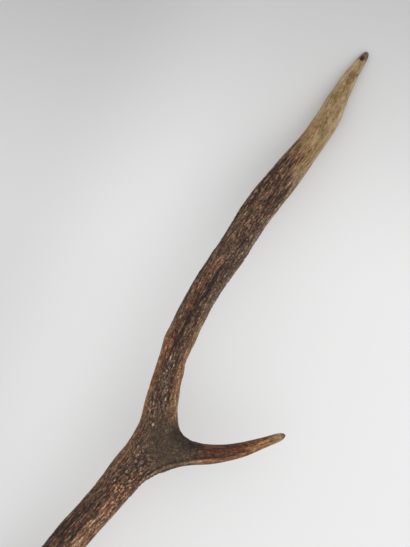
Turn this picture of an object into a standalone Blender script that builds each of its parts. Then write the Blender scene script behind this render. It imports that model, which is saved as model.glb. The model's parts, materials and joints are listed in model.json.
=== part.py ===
"""A red deer antler of three points, as cut: a beam with a coronet at its sawn base, a brow tine low down,
a tray tine halfway up, and one smooth point at the end.

It lies hollow side down on three feet: the coronet, the point of the brow tine and the point of the beam.
+Y runs from the sawn base to the beam's point, +X to the side of the tines, +Z up, and the table is z = 0.
The antler is modelled whole, as one skin, then split at its forks with a hair gap at each split.
"""

import math

import bmesh
import bpy
import numpy as np
from mathutils import Vector, noise

MM = 0.001

# Every station is a slice across the antler, in millimetres: the middle of the slice (x, y, z), then
# its half-width towards the back (-X), its half-width towards the tines (+X), and its half-thickness.
BEAM = [
    # Sawn base and coronet
    (-48.0, -319.0, 25.0, 18.0, 18.0, 17.0),
    (-46.5, -303.0, 29.5, 19.0, 19.5, 18.5),
    # Between the coronet and the brow tine the beam is at its stoutest
    (-44.5, -288.0, 34.0, 19.5, 20.5, 19.0),
    (-43.0, -272.0, 39.0, 18.5, 20.5, 18.5),
    (-41.0, -252.0, 45.0, 17.5, 18.0, 17.5),
    (-37.0, -222.0, 53.0, 16.5, 16.5, 16.5),
    (-32.5, -190.0, 60.5, 16.5, 16.5, 16.0),
    (-28.0, -162.0, 66.0, 17.0, 17.0, 16.0),
    (-24.0, -134.0, 71.0, 16.5, 16.5, 16.0),
    (-20.0, -105.0, 75.0, 16.5, 16.5, 16.0),
    (-15.0, -76.0, 78.0, 16.5, 16.5, 16.0),
    # The fork of the tray tine, where the beam spreads into a web
    (-12.0, -47.5, 80.0, 17.0, 18.5, 15.5),
    (-11.0, -33.0, 81.0, 16.0, 21.0, 15.0),
    (-10.5, -20.0, 81.5, 15.5, 20.0, 14.5),
    (-12.5, 7.5, 82.0, 14.5, 18.5, 13.5),
    (-18.5, 28.0, 82.0, 14.0, 18.5, 13.5),
    # Upper beam
    (-25.5, 54.0, 81.5, 13.5, 13.5, 13.5),
    (-33.5, 81.0, 80.0, 14.0, 13.5, 13.5),
    (-37.0, 106.0, 77.5, 14.0, 14.0, 13.5),
    (-39.5, 132.5, 74.0, 14.0, 14.0, 13.5),
    (-39.5, 160.0, 69.5, 14.5, 14.5, 14.0),
    (-38.0, 187.0, 64.0, 14.5, 14.5, 14.0),
    (-38.0, 214.5, 57.0, 15.0, 15.0, 14.0),
    (-36.5, 243.5, 49.5, 16.0, 15.5, 14.0),
    (-33.0, 269.5, 42.0, 15.5, 15.5, 13.5),
    (-30.5, 294.5, 34.5, 14.5, 14.5, 12.5),
    # The polished point
    (-27.5, 323.0, 26.0, 12.5, 12.5, 11.0),
    (-27.0, 351.5, 18.5, 11.5, 11.5, 10.0),
    (-29.5, 377.5, 12.0, 9.5, 9.5, 8.5),
    (-29.5, 404.0, 6.5, 6.0, 6.0, 6.0),
    (-28.0, 420.5, 4.0, 4.0, 4.0, 3.5),
    (-28.0, 426.0, 3.0, 2.5, 2.5, 2.5),
]
# A tine is as wide on both sides: middle, half-width, half-thickness. The first slice is out on the web.
TRAY_TINE = [
    (14.5, -0.5, 81.0, 20.0, 12.5),
    (27.5, 3.5, 79.5, 12.5, 10.5),
    (38.0, 8.5, 77.5, 10.0, 9.0),
    (49.0, 14.5, 75.5, 9.5, 8.5),
    (59.0, 22.0, 73.0, 8.0, 8.0),
    (68.0, 30.0, 70.5, 7.5, 7.0),
    (76.0, 38.5, 68.0, 6.5, 6.5),
    (84.0, 48.0, 65.5, 5.5, 5.5),
    (92.5, 58.5, 63.0, 4.5, 4.5),
    (97.0, 64.0, 62.0, 3.5, 3.5),
    (98.5, 66.0, 61.5, 2.0, 2.0),
]
BROW_TINE = [
    (-17.0, -268.0, 40.5, 16.0, 14.0),
    (-6.0, -267.5, 41.5, 13.0, 12.5),
    (8.0, -265.5, 42.0, 11.5, 11.5),
    (28.0, -260.5, 41.0, 11.0, 11.0),
    (50.0, -252.0, 37.5, 10.5, 10.5),
    (71.0, -240.5, 31.5, 9.5, 9.5),
    (90.0, -226.5, 24.0, 8.5, 8.5),
    (106.0, -210.5, 16.0, 7.0, 7.0),
    (117.5, -194.5, 8.5, 5.0, 5.0),
    (121.5, -187.5, 5.5, 3.5, 3.5),
    (123.0, -184.5, 4.5, 2.0, 2.0),
]
# Each tine grows out of a window in the beam, from here to here along the beam, from the sawn base.
TRAY_WINDOW = (288.0, 344.0)
BROW_WINDOW = (34.0, 70.0)
# The coronet: distance from the sawn base, and how much it stands proud of the beam there.
CORONET = [(0.0, 0.0), (4.0, 0.5), (7.0, 7.0), (10.5, 9.5), (14.5, 8.5), (18.5, 3.5), (23.0, 0.5)]

SLICE_GAP = 13.5  # between the slices of the beam's cage
TINE_SLICE_GAP = 12.5
BEAM_CORNERS = 12
TINE_CORNERS = 16  # a tine's slice has as many corners as a window's rim
WINDOW_FACES = 4  # a window is this many faces long, and as many wide
BEAM_END_SLICES = (12.0, 5.5)  # the last slices before a point, counted back from it
TINE_END_SLICES = (9.0, 4.0)
BLUNT_TIP = 1.2  # how far a point reaches past its last slice
BEAM_ROUNDING = 0.962  # what the rounding leaves of a slice's size
TINE_ROUNDING = 0.977

# The splits: the upper beam's is this many slices past the tray tine's window, a tine's is at this slice.
UPPER_SPLIT = 2
TINE_SPLIT = 1
SPLIT_GAP = 0.3
SPLIT_REACH = 20.0  # corners this near the middle of a split
SPLIT_THICKNESS = 2.0  # and this near its plane belong to its ring
FOOT_WEAR = 0.5  # how deep each foot is worn flat
FOOT_REACH = 40.0

# Relief
LUMP_SIZE = 13.0
LUMP_HEIGHT = 0.6
SMOOTH_LUMPS = 0.3  # what is left of the lumps on the polished point
TINE_LUMPS = 0.4
FLUTES = 6  # shallow furrows along the beam
FLUTE_DEPTH = 0.6
FLUTE_WANDER = 1.4
WANDER_LENGTH = 70.0
FLUTES_START = (34.0, 79.0)  # they fade in between these distances from the sawn base
FORK_FADE = 25.0  # and are lost this near the fork
POLISHED = (570.0, 660.0)  # the beam turns smooth between these distances
GROOVE_DEPTH = 1.5  # one deeper groove runs up the top of the upper beam
GROOVE_WIDTH = 3.2
GROOVE_START = (335.0, 375.0)
GROOVE_END = (500.0, 560.0)
GROOVE_ANGLE = 1.75  # round the beam from the tine side over the top, in radians
GROOVE_SWAY = 0.25
GROOVE_SWAY_LENGTH = 45.0
GROOVE_RADIUS = 14.0
KNOB_SIZE = 5.5
KNOB_HEIGHT = 2.2
KNOBS_FROM = (4.0, 9.0)
KNOBS_TO = 24.0

# Colour of the bone: red, green, blue, roughness
BONE = {
    "lower_beam": (0.085, 0.055, 0.036, 0.62),
    "upper_beam": (0.110, 0.072, 0.046, 0.60),
    "tray_tine": (0.150, 0.085, 0.050, 0.52),
    "brow_tine": (0.120, 0.075, 0.048, 0.55),
}


class Line:
    """A smooth line through hand-set stations, which gives every value at any distance along it."""

    def __init__(self, stations):
        self.values = np.array(stations, float)
        gaps = np.linalg.norm(np.diff(self.values[:, :3], axis=0), axis=1)
        self.at = np.concatenate([[0.0], np.cumsum(gaps)])
        self.slopes = np.gradient(self.values, self.at, axis=0)
        self.length = self.at[-1]

    def value(self, distance):
        i = int(np.clip(np.searchsorted(self.at, distance) - 1, 0, len(self.at) - 2))
        span = self.at[i + 1] - self.at[i]
        t = (distance - self.at[i]) / span
        start, end = self.values[i], self.values[i + 1]
        leaving, arriving = self.slopes[i] * span, self.slopes[i + 1] * span
        return (
            start * (2 * t**3 - 3 * t**2 + 1)
            + leaving * (t**3 - 2 * t**2 + t)
            + end * (3 * t**2 - 2 * t**3)
            + arriving * (t**3 - t**2)
        )

    def frame(self, distance):
        """The middle of the slice, the way along, the way to the tine side and the way up."""
        before = self.value(max(distance - 1.0, 0.0))[:3]
        after = self.value(min(distance + 1.0, self.length))[:3]
        along = Vector(after - before).normalized()
        side = along.cross(Vector((0, 0, 1))).normalized()
        up = side.cross(along).normalized()
        return Vector(self.value(distance)[:3]), along, side, up


def clear_scene():
    for thing in list(bpy.data.objects):
        bpy.data.objects.remove(thing, do_unlink=True)


def places_between(start, end, gap):
    """Distances from start to end, evenly spaced by about the gap, without the first."""
    count = max(1, round((end - start) / gap))
    return [start + (end - start) * (i + 1) / count for i in range(count)]


def beam_places(beam):
    """Where the slices of the beam go: close at the coronet, four faces to a window, even elsewhere."""
    end, last = (beam.length - back for back in BEAM_END_SLICES)
    places = [distance for distance, proud in CORONET] + [BROW_WINDOW[0]]
    places += places_between(*BROW_WINDOW, (BROW_WINDOW[1] - BROW_WINDOW[0]) / WINDOW_FACES)
    places += places_between(BROW_WINDOW[1], TRAY_WINDOW[0], SLICE_GAP)
    places += places_between(*TRAY_WINDOW, (TRAY_WINDOW[1] - TRAY_WINDOW[0]) / WINDOW_FACES)
    places += places_between(TRAY_WINDOW[1], end, SLICE_GAP)
    return places + [last, beam.length]


def coronet_height(distance):
    where, height = zip(*CORONET)
    return float(np.interp(distance, where, height, right=0.0))


def add_slice(cage, line, distance, corners, back, front, deep):
    """One slice of the cage: its corners counted from the tine side over the top."""
    middle, along, side, up = line.frame(distance)
    found = []
    for i in range(corners):
        angle = 2 * math.pi * i / corners
        width = front if math.cos(angle) > 0 else back
        out = side * (width * math.cos(angle)) + up * (deep * math.sin(angle))
        found.append(cage.verts.new(middle + out))
    return found


def add_skin(cage, first, second, opening=()):
    for i in range(len(first)):
        if i not in opening:
            j = (i + 1) % len(first)
            cage.faces.new((first[i], first[j], second[j], second[i]))


def close_point(cage, last, line):
    middle, along, side, up = line.frame(line.length)
    tip = cage.verts.new(middle + along * BLUNT_TIP)
    for i in range(len(last)):
        cage.faces.new((last[i], last[(i + 1) % len(last)], tip))


def window_rim(slices, start):
    """The corners round a window in a tine's order: from the middle of its base end, over the top."""
    end = start + WINDOW_FACES
    half = WINDOW_FACES // 2
    base_edge = [slices[start][k] for k in range(half)]
    top_edge = [slices[s][half] for s in range(start, end)]
    far_edge = [slices[end][k] for k in range(half, -half, -1)]
    under_edge = [slices[s][-half] for s in range(end, start, -1)]
    return base_edge + top_edge + far_edge + under_edge + [slices[start][k] for k in range(-half, 0)]


def add_tine(cage, line, rim):
    """A tine, sewn to the rim of its window. Gives the distance of its split."""
    end, last = (line.length - back for back in TINE_END_SLICES)
    places = [0.0] + places_between(0.0, end, TINE_SLICE_GAP) + [last, line.length]
    slices = []
    for distance in places:
        width, deep = line.value(distance)[3:] / TINE_ROUNDING
        slices.append(add_slice(cage, line, distance, TINE_CORNERS, width, width, deep))
    add_skin(cage, rim, slices[0])
    for first, second in zip(slices, slices[1:]):
        add_skin(cage, first, second)
    close_point(cage, slices[-1], line)
    return places[TINE_SPLIT]


def build_cage(beam, tray, brow):
    """The whole antler as one coarse cage, open at the sawn base, and the distances of its splits."""
    cage = bmesh.new()
    places = beam_places(beam)
    slices = []
    for distance in places:
        back, front, deep = (beam.value(distance)[3:] + coronet_height(distance)) / BEAM_ROUNDING
        slices.append(add_slice(cage, beam, distance, BEAM_CORNERS, back, front, deep))
    brow_start, tray_start = places.index(BROW_WINDOW[0]), places.index(TRAY_WINDOW[0])
    half = WINDOW_FACES // 2
    opening = [k % BEAM_CORNERS for k in range(-half, half)]
    for s in range(len(slices) - 1):
        in_window = brow_start <= s < brow_start + WINDOW_FACES or tray_start <= s < tray_start + WINDOW_FACES
        add_skin(cage, slices[s], slices[s + 1], opening if in_window else ())
    close_point(cage, slices[-1], beam)
    for corner in [v for v in cage.verts if not v.link_faces]:
        cage.verts.remove(corner)
    splits = {
        "upper_beam": places[tray_start + WINDOW_FACES + UPPER_SPLIT],
        "tray_tine": add_tine(cage, tray, window_rim(slices, tray_start)),
        "brow_tine": add_tine(cage, brow, window_rim(slices, brow_start)),
    }
    return cage, splits


def rounded(cage):
    """The cage after one step of subdivision, as a plain mesh."""
    mesh = bpy.data.meshes.new("antler_cage")
    cage.to_mesh(mesh)
    cage.free()
    holder = bpy.data.objects.new("antler_cage", mesh)
    bpy.context.scene.collection.objects.link(holder)
    rounding = holder.modifiers.new("rounding", "SUBSURF")
    rounding.levels = 1
    rounding.render_levels = 1
    graph = bpy.context.evaluated_depsgraph_get()
    result = bpy.data.meshes.new_from_object(holder.evaluated_get(graph))
    bpy.data.objects.remove(holder, do_unlink=True)
    return result


class Flow:
    """Says where on the antler a spot is: on which line, how far along it and at what angle round it."""

    def __init__(self, lines):
        self.tables = []
        for line in lines:
            spots = np.arange(0.0, line.length, 2.0)
            values = np.array([line.value(spot) for spot in spots])
            self.tables.append((line, spots, values[:, :3], values[:, 3:].mean(axis=1)))

    def at(self, point):
        found = []
        for index, (line, spots, middles, sizes) in enumerate(self.tables):
            away = np.linalg.norm(middles - np.array(point), axis=1) / sizes
            nearest = int(np.argmin(away))
            found.append((away[nearest], index, spots[nearest]))
        away, index, distance = min(found)
        middle, along, side, up = self.tables[index][0].frame(distance)
        out = point - middle
        return index, distance, math.atan2(out.dot(up), out.dot(side))


def fade(value, start, end):
    """0 at the start, 1 at the end, with a smooth way between."""
    t = min(max((value - start) / (end - start), 0.0), 1.0)
    return t * t * (3 - 2 * t)


def flute_height(distance, angle):
    wander = noise.noise(Vector((distance / WANDER_LENGTH, 3.0, 1.0))) * FLUTE_WANDER
    before_fork = 1 - fade(distance, TRAY_WINDOW[0] - FORK_FADE, TRAY_WINDOW[0])
    after_fork = fade(distance, TRAY_WINDOW[1], TRAY_WINDOW[1] + FORK_FADE)
    strength = fade(distance, *FLUTES_START) * max(before_fork, after_fork) * (1 - fade(distance, *POLISHED))
    return math.sin(FLUTES * angle + wander) * FLUTE_DEPTH * strength


def groove_height(distance, angle):
    middle = GROOVE_ANGLE + GROOVE_SWAY * math.sin(distance / GROOVE_SWAY_LENGTH)
    across = (angle - middle) * GROOVE_RADIUS / GROOVE_WIDTH
    strength = fade(distance, *GROOVE_START) * (1 - fade(distance, *GROOVE_END))
    return -math.exp(-(across**2)) * GROOVE_DEPTH * strength


def knob_height(distance, point):
    if distance > KNOBS_TO:
        return 0.0
    return noise.noise(point / KNOB_SIZE) * KNOB_HEIGHT * fade(distance, *KNOBS_FROM)


def relief_height(index, distance, angle, point):
    """How far the surface stands proud at this spot."""
    lumps = noise.noise(point / LUMP_SIZE) * LUMP_HEIGHT
    if index > 0:
        return lumps * TINE_LUMPS
    lumps *= 1 - (1 - SMOOTH_LUMPS) * fade(distance, *POLISHED)
    lengthwise = flute_height(distance, angle) + groove_height(distance, angle)
    return lumps + lengthwise + knob_height(distance, point)


def add_relief(skin, flow):
    skin.normal_update()
    rise = []
    for corner in skin.verts:
        held = any(edge.is_boundary for edge in corner.link_edges)
        height = 0.0 if held else relief_height(*flow.at(corner.co), corner.co)
        rise.append(corner.normal * height)
    for corner, step in zip(skin.verts, rise):
        corner.co += step


def lowest_near(skin, station):
    """The lowest corner near a station, as seen from above."""
    spot = Vector(station[:2])
    inside = [v.co for v in skin.verts if (v.co.xy - spot).length < FOOT_REACH]
    return min(inside, key=lambda co: co.z)


def set_on_feet(skin):
    """Tips the antler until its three feet sink the same little way into the table, which wears them flat."""
    feet = [lowest_near(skin, station) for station in (BEAM[1], BEAM[-1], BROW_TINE[-1])]
    spots = [[1.0, foot.x, foot.y] for foot in feet]
    lift, along_x, along_y = np.linalg.solve(spots, [-FOOT_WEAR - foot.z for foot in feet])
    for corner in skin.verts:
        corner.co.z += lift + along_x * corner.co.x + along_y * corner.co.y


def centre_of_box(skin):
    xs = [v.co.x for v in skin.verts]
    ys = [v.co.y for v in skin.verts]
    return Vector(((min(xs) + max(xs)) / 2, (min(ys) + max(ys)) / 2, 0.0))


def flatten_ring(skin, line, distance):
    """Moves the ring of corners at a split into one plane, and gives its edges."""
    middle, along, side, up = line.frame(distance)
    ring = {
        v
        for v in skin.verts
        if (v.co - middle).length < SPLIT_REACH and abs((v.co - middle).dot(along)) < SPLIT_THICKNESS
    }
    for corner in ring:
        corner.co -= along * (corner.co - middle).dot(along)
    return [edge for edge in skin.edges if edge.verts[0] in ring and edge.verts[1] in ring]


def piece_at(skin, start):
    """A copy of the loose piece of skin whose face is nearest to the start."""
    seed = min(skin.faces, key=lambda face: (face.calc_center_median() - start).length)
    found, waiting = {seed}, [seed]
    while waiting:
        for edge in waiting.pop().edges:
            fresh = [face for face in edge.link_faces if face not in found]
            found.update(fresh)
            waiting.extend(fresh)
    part = bmesh.new()
    made = {}
    for face in sorted(found, key=lambda face: face.index):
        for corner in face.verts:
            if corner.index not in made:
                made[corner.index] = part.verts.new(corner.co)
        part.faces.new([made[corner.index] for corner in face.verts])
    return part


def cap_and_wear(part):
    """Caps the open ends flat, and wears the feet off level with the table."""
    bmesh.ops.holes_fill(part, edges=part.edges[:], sides=0)
    everything = part.verts[:] + part.edges[:] + part.faces[:]
    bmesh.ops.bisect_plane(part, geom=everything, plane_co=(0, 0, 0), plane_no=(0, 0, -1), clear_outer=True)
    bmesh.ops.holes_fill(part, edges=part.edges[:], sides=0)
    bmesh.ops.recalc_face_normals(part, faces=part.faces[:])


def bone_colour(name):
    red, green, blue, roughness = BONE[name]
    material = bpy.data.materials.new("bone_" + name)
    material.use_nodes = True
    shader = material.node_tree.nodes["Principled BSDF"]
    shader.inputs["Base Color"].default_value = (red, green, blue, 1.0)
    shader.inputs["Roughness"].default_value = roughness
    return material


def finish_piece(collection, name, part):
    cap_and_wear(part)
    mesh = bpy.data.meshes.new(name)
    bmesh.ops.scale(part, vec=(MM, MM, MM), verts=part.verts[:])
    part.to_mesh(mesh)
    part.free()
    for face in mesh.polygons:
        face.use_smooth = len(face.vertices) <= 4
    mesh.materials.append(bone_colour(name))
    collection.objects.link(bpy.data.objects.new(name, mesh))
    print(name, len(mesh.polygons), "faces")


clear_scene()
antler = bpy.data.collections.new("stag_antler")
bpy.context.scene.collection.children.link(antler)

beam_line, tray_line, brow_line = Line(BEAM), Line(TRAY_TINE), Line(BROW_TINE)
cage, splits = build_cage(beam_line, tray_line, brow_line)
skin = bmesh.new()
skin.from_mesh(rounded(cage))
add_relief(skin, Flow([beam_line, tray_line, brow_line]))

branches = {"upper_beam": beam_line, "tray_tine": tray_line, "brow_tine": brow_line}
for name, line in branches.items():
    ring_edges = flatten_ring(skin, line, splits[name])
    bmesh.ops.split_edges(skin, edges=ring_edges)
set_on_feet(skin)
centre = centre_of_box(skin)
bmesh.ops.translate(skin, vec=-centre, verts=skin.verts[:])
skin.verts.index_update()
skin.faces.index_update()
skin.faces.ensure_lookup_table()

finish_piece(antler, "lower_beam", piece_at(skin, beam_line.frame(0.0)[0] - centre))
for name, line in branches.items():
    part = piece_at(skin, line.frame(line.length)[0] - centre)
    away = line.frame(splits[name])[1] * SPLIT_GAP
    bmesh.ops.translate(part, vec=away, verts=[corner for corner in part.verts if corner.is_boundary])
    finish_piece(antler, name, part)
skin.free()
print("the origin is at", [round(side, 1) for side in centre.xy], "in the stations' millimetres")
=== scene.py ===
# %% [markdown]
# # A stag's antler
#
# An antler is bone that grew in one summer under a furry skin. Blood vessels in that skin left furrows
# along the bone, and the bone between them stands up in ridges and small knobs called pearls. Bark, blood
# and soil stain the furrows nearly black, and rubbing against trees bleaches and polishes the points.
#
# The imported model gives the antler's exact form as four solids. This script keeps that form, sews the
# solids into one skin, carves the fine relief into it, and paints it from that relief.

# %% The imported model
import json
import math

import bmesh
import bpy
import numpy as np
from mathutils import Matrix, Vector, kdtree, noise


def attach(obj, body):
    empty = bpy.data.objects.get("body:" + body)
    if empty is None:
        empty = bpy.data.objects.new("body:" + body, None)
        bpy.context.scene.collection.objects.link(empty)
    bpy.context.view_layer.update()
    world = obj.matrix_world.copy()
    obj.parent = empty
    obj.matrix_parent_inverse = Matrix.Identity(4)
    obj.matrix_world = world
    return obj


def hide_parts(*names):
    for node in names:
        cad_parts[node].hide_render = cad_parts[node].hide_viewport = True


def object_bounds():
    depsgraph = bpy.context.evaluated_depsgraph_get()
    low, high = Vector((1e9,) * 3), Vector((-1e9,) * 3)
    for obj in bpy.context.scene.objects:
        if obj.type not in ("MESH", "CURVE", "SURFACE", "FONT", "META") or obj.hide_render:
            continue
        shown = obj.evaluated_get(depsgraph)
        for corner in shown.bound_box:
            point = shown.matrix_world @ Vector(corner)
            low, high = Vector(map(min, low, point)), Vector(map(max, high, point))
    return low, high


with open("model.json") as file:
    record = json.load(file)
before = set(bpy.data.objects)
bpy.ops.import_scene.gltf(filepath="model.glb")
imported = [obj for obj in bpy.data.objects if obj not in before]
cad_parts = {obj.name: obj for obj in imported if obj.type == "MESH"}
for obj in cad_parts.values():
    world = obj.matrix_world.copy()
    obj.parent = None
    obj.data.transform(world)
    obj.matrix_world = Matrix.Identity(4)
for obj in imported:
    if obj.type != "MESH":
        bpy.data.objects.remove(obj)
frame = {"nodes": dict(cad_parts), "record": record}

cad_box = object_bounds()
print("nodes:", sorted(frame["nodes"]))

# %% [markdown]
# ## Copies to work on
#
# The solids themselves stay as they are, so each one is copied first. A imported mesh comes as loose
# triangles, so the copy's doubled corners are merged. Each copy gets a material of its own for now: after
# the pieces are sewn together, it still tells which face came from which solid.

# %% Copy the four solids
BRANCHES = ("lower_beam", "upper_beam", "tray_tine", "brow_tine")
MM = 0.001


def only(*things):
    """Selects these objects and nothing else, the first one active."""
    bpy.ops.object.select_all(action="DESELECT")
    for thing in things:
        thing.select_set(True)
    bpy.context.view_layer.objects.active = things[0]


def copy_of(name):
    mesh = frame["nodes"][name].data.copy()
    mesh.materials.clear()
    mesh.materials.append(bpy.data.materials.new("from_" + name))
    copy = bpy.data.objects.new(name + "_bone", mesh)
    bpy.context.scene.collection.objects.link(copy)
    only(copy)
    bpy.ops.mesh.customdata_custom_splitnormals_clear()
    bpy.ops.object.mode_set(mode="EDIT")
    bpy.ops.mesh.select_all(action="SELECT")
    bpy.ops.mesh.remove_doubles(threshold=0.01 * MM)
    bpy.ops.object.mode_set(mode="OBJECT")
    return copy


copies = {name: copy_of(name) for name in BRANCHES}
for name, copy in copies.items():
    print(name, len(copy.data.vertices), "corners")

# %% [markdown]
# ## One skin
#
# A real antler has no joints, so the hair gaps where the solids were split have to go. The flat caps at
# the splits are taken out, the four shells are joined, and the rims, 0.3 mm apart, are merged. The sawn
# face at the base comes off as well, because rounding the skin would round its edge; it is filled in later.

# %% Take the caps out
RIM_GAP = 0.4 * MM
FLAT = 0.999


def corner_tree(piece):
    tree = kdtree.KDTree(len(piece.data.vertices))
    for corner in piece.data.vertices:
        tree.insert(corner.co, corner.index)
    tree.balance()
    return tree


def rim_corners(name):
    """The corners of a copy that lie against another copy."""
    others = [tree for other, tree in trees.items() if other != name]
    corners = copies[name].data.vertices
    return {c.index for c in corners if any(tree.find(c.co)[2] < RIM_GAP for tree in others)}


def pick_faces(piece, wanted):
    """Selects the faces that are wanted, and counts them. The piece is in edit mode."""
    bpy.ops.mesh.select_mode(type="FACE")
    bpy.ops.mesh.select_all(action="DESELECT")
    found = [face for face in bmesh.from_edit_mesh(piece.data).faces if wanted(face)]
    for face in found:
        face.select_set(True)
    bmesh.update_edit_mesh(piece.data)
    return len(found)


def pick_corners(piece, wanted):
    """Selects the corners that are wanted. The piece is in edit mode."""
    bpy.ops.mesh.select_mode(type="VERT")
    bpy.ops.mesh.select_all(action="DESELECT")
    for corner in bmesh.from_edit_mesh(piece.data).verts:
        corner.select_set(wanted(corner))
    bmesh.update_edit_mesh(piece.data)


sawn = next(mount for mount in frame["record"]["mounts"] if mount["name"] == "sawn_base")
sawn_middle, sawn_out = Vector(sawn["pos_m"]), Vector(sawn["axis"]).normalized()


def depth_behind_cut(spot):
    """How far a spot is inside the antler, measured from the sawn face."""
    return (sawn_middle - spot).dot(sawn_out)


def on_saw_cut(face):
    return face.normal.dot(sawn_out) > FLAT and abs(depth_behind_cut(face.calc_center_median())) < RIM_GAP


trees = {name: corner_tree(copy) for name, copy in copies.items()}
rims = {name: rim_corners(name) for name in BRANCHES}
for name, copy in copies.items():
    only(copy)
    bpy.ops.object.mode_set(mode="EDIT")
    rim = rims[name]
    count = pick_faces(copy, lambda face: all(c.index in rim for c in face.verts) or on_saw_cut(face))
    bpy.ops.mesh.delete(type="FACE")
    bpy.ops.object.mode_set(mode="OBJECT")
    print(name, "lost", count, "cap faces")

# %% Sew the shells together
CORONET_DEPTH = 24 * MM


def count_open_edges(piece):
    bpy.ops.mesh.select_mode(type="EDGE")
    bpy.ops.mesh.select_all(action="DESELECT")
    bpy.ops.mesh.select_non_manifold(
        use_wire=False, use_multi_face=False, use_non_contiguous=False, use_verts=False
    )
    return sum(edge.select for edge in bmesh.from_edit_mesh(piece.data).edges)


only(*copies.values())
bpy.ops.object.join()
skin = copies["lower_beam"]
bpy.ops.object.mode_set(mode="EDIT")
before = count_open_edges(skin)
bpy.ops.mesh.remove_doubles(threshold=RIM_GAP)
bpy.ops.mesh.select_all(action="SELECT")
bpy.ops.mesh.tris_convert_to_quads(face_threshold=1.0, shape_threshold=1.0, materials=True)
print("open edges before and after sewing:", before, count_open_edges(skin))

CROTCH = Vector((-19, -29, 80)) * MM  # the corner between the beam and the tray tine
for reach, times in ((26, 2), (18, 4), (11, 4)):
    pick_corners(skin, lambda corner: (corner.co - CROTCH).length < reach * MM)
    bpy.ops.mesh.vertices_smooth(factor=0.5, repeat=times)
print("crotch rounded")

skin.data.materials.append(bpy.data.materials.new("from_coronet"))
skin.active_material_index = len(BRANCHES)
pick_faces(skin, lambda face: depth_behind_cut(face.calc_center_median()) < CORONET_DEPTH)
bpy.ops.object.material_slot_assign()
bpy.ops.object.mode_set(mode="OBJECT")
print("one skin of", len(skin.data.polygons), "faces, materials", [m.name for m in skin.data.materials])

# %% [markdown]
# ## Fine enough to carve
#
# Pearls are 2 to 4 mm wide, so the skin needs faces well under a millimetre. Subdivision Surface rounds
# the facets away and splits every face in four, three times over.

# %% Round and refine the skin
rounding = skin.modifiers.new("rounding", "SUBSURF")
rounding.levels = rounding.render_levels = 3
rounding.boundary_smooth = "ALL"
only(skin)
bpy.ops.object.modifier_apply(modifier=rounding.name)
corners = len(skin.data.vertices)
spots = np.empty(corners * 3)
skin.data.vertices.foreach_get("co", spots)
spots = spots.reshape(-1, 3) / MM
outwards = np.empty(corners * 3)
skin.data.vertex_normals.foreach_get("vector", outwards)
outwards = outwards.reshape(-1, 3)
print("refined to", corners, "corners")

# %% [markdown]
# ## Along the grain
#
# Everything on an antler follows its growth: furrows run along the beam and turn into the tines. So each
# corner needs to know how far along its branch it is and on which side. Each branch gets a line down its
# middle through given points. A tine's distances go on from the beam's, so the grain flows into it.

# %% Lines down the middle of the branches
# Points in millimetres: x, y, z and the branch's half-width there
BEAM_MIDDLE = [
    (-73, -371, 23, 18), (-66, -303, 43, 19), (-58, -241, 59, 16.5), (-49, -185, 69.5, 16.5),
    (-40, -127, 76.5, 16.5), (-36.5, -85, 79.5, 17), (-38, -44, 80.5, 17), (-51, 3, 80, 16),
    (-62, 55, 76, 13.5), (-65, 108, 68, 14.5), (-63.5, 163, 55.5, 14.5), (-58.5, 218, 40.5, 15),
    (-53, 271, 24.5, 13), (-54, 326, 10.5, 9), (-53.5, 375, 3.5, 2.5),
]
TRAY_MIDDLE = [
    (-37, -62, 80, 16), (-24, -57, 80, 16), (-11, -52, 79.5, 15), (13, -43, 76, 10),
    (34, -29.5, 71.5, 8.5), (51, -13, 66.5, 7), (67, 7, 61.5, 4.5), (73, 14.5, 60, 2.5),
]
BROW_MIDDLE = [
    (-68, -322, 39, 17), (-42, -319.5, 39.5, 15), (-17, -317, 41, 12), (3, -312, 40, 11),
    (25, -303.5, 36.5, 10.5), (46, -292, 30.5, 9.5), (65, -278, 23, 8.5), (81, -262, 15, 7),
    (92, -246, 7.5, 4), (98, -236, 3.5, 2),
]
SOFTEN = 12  # how many steps of 1 mm to each side a line is smoothed over


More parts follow.
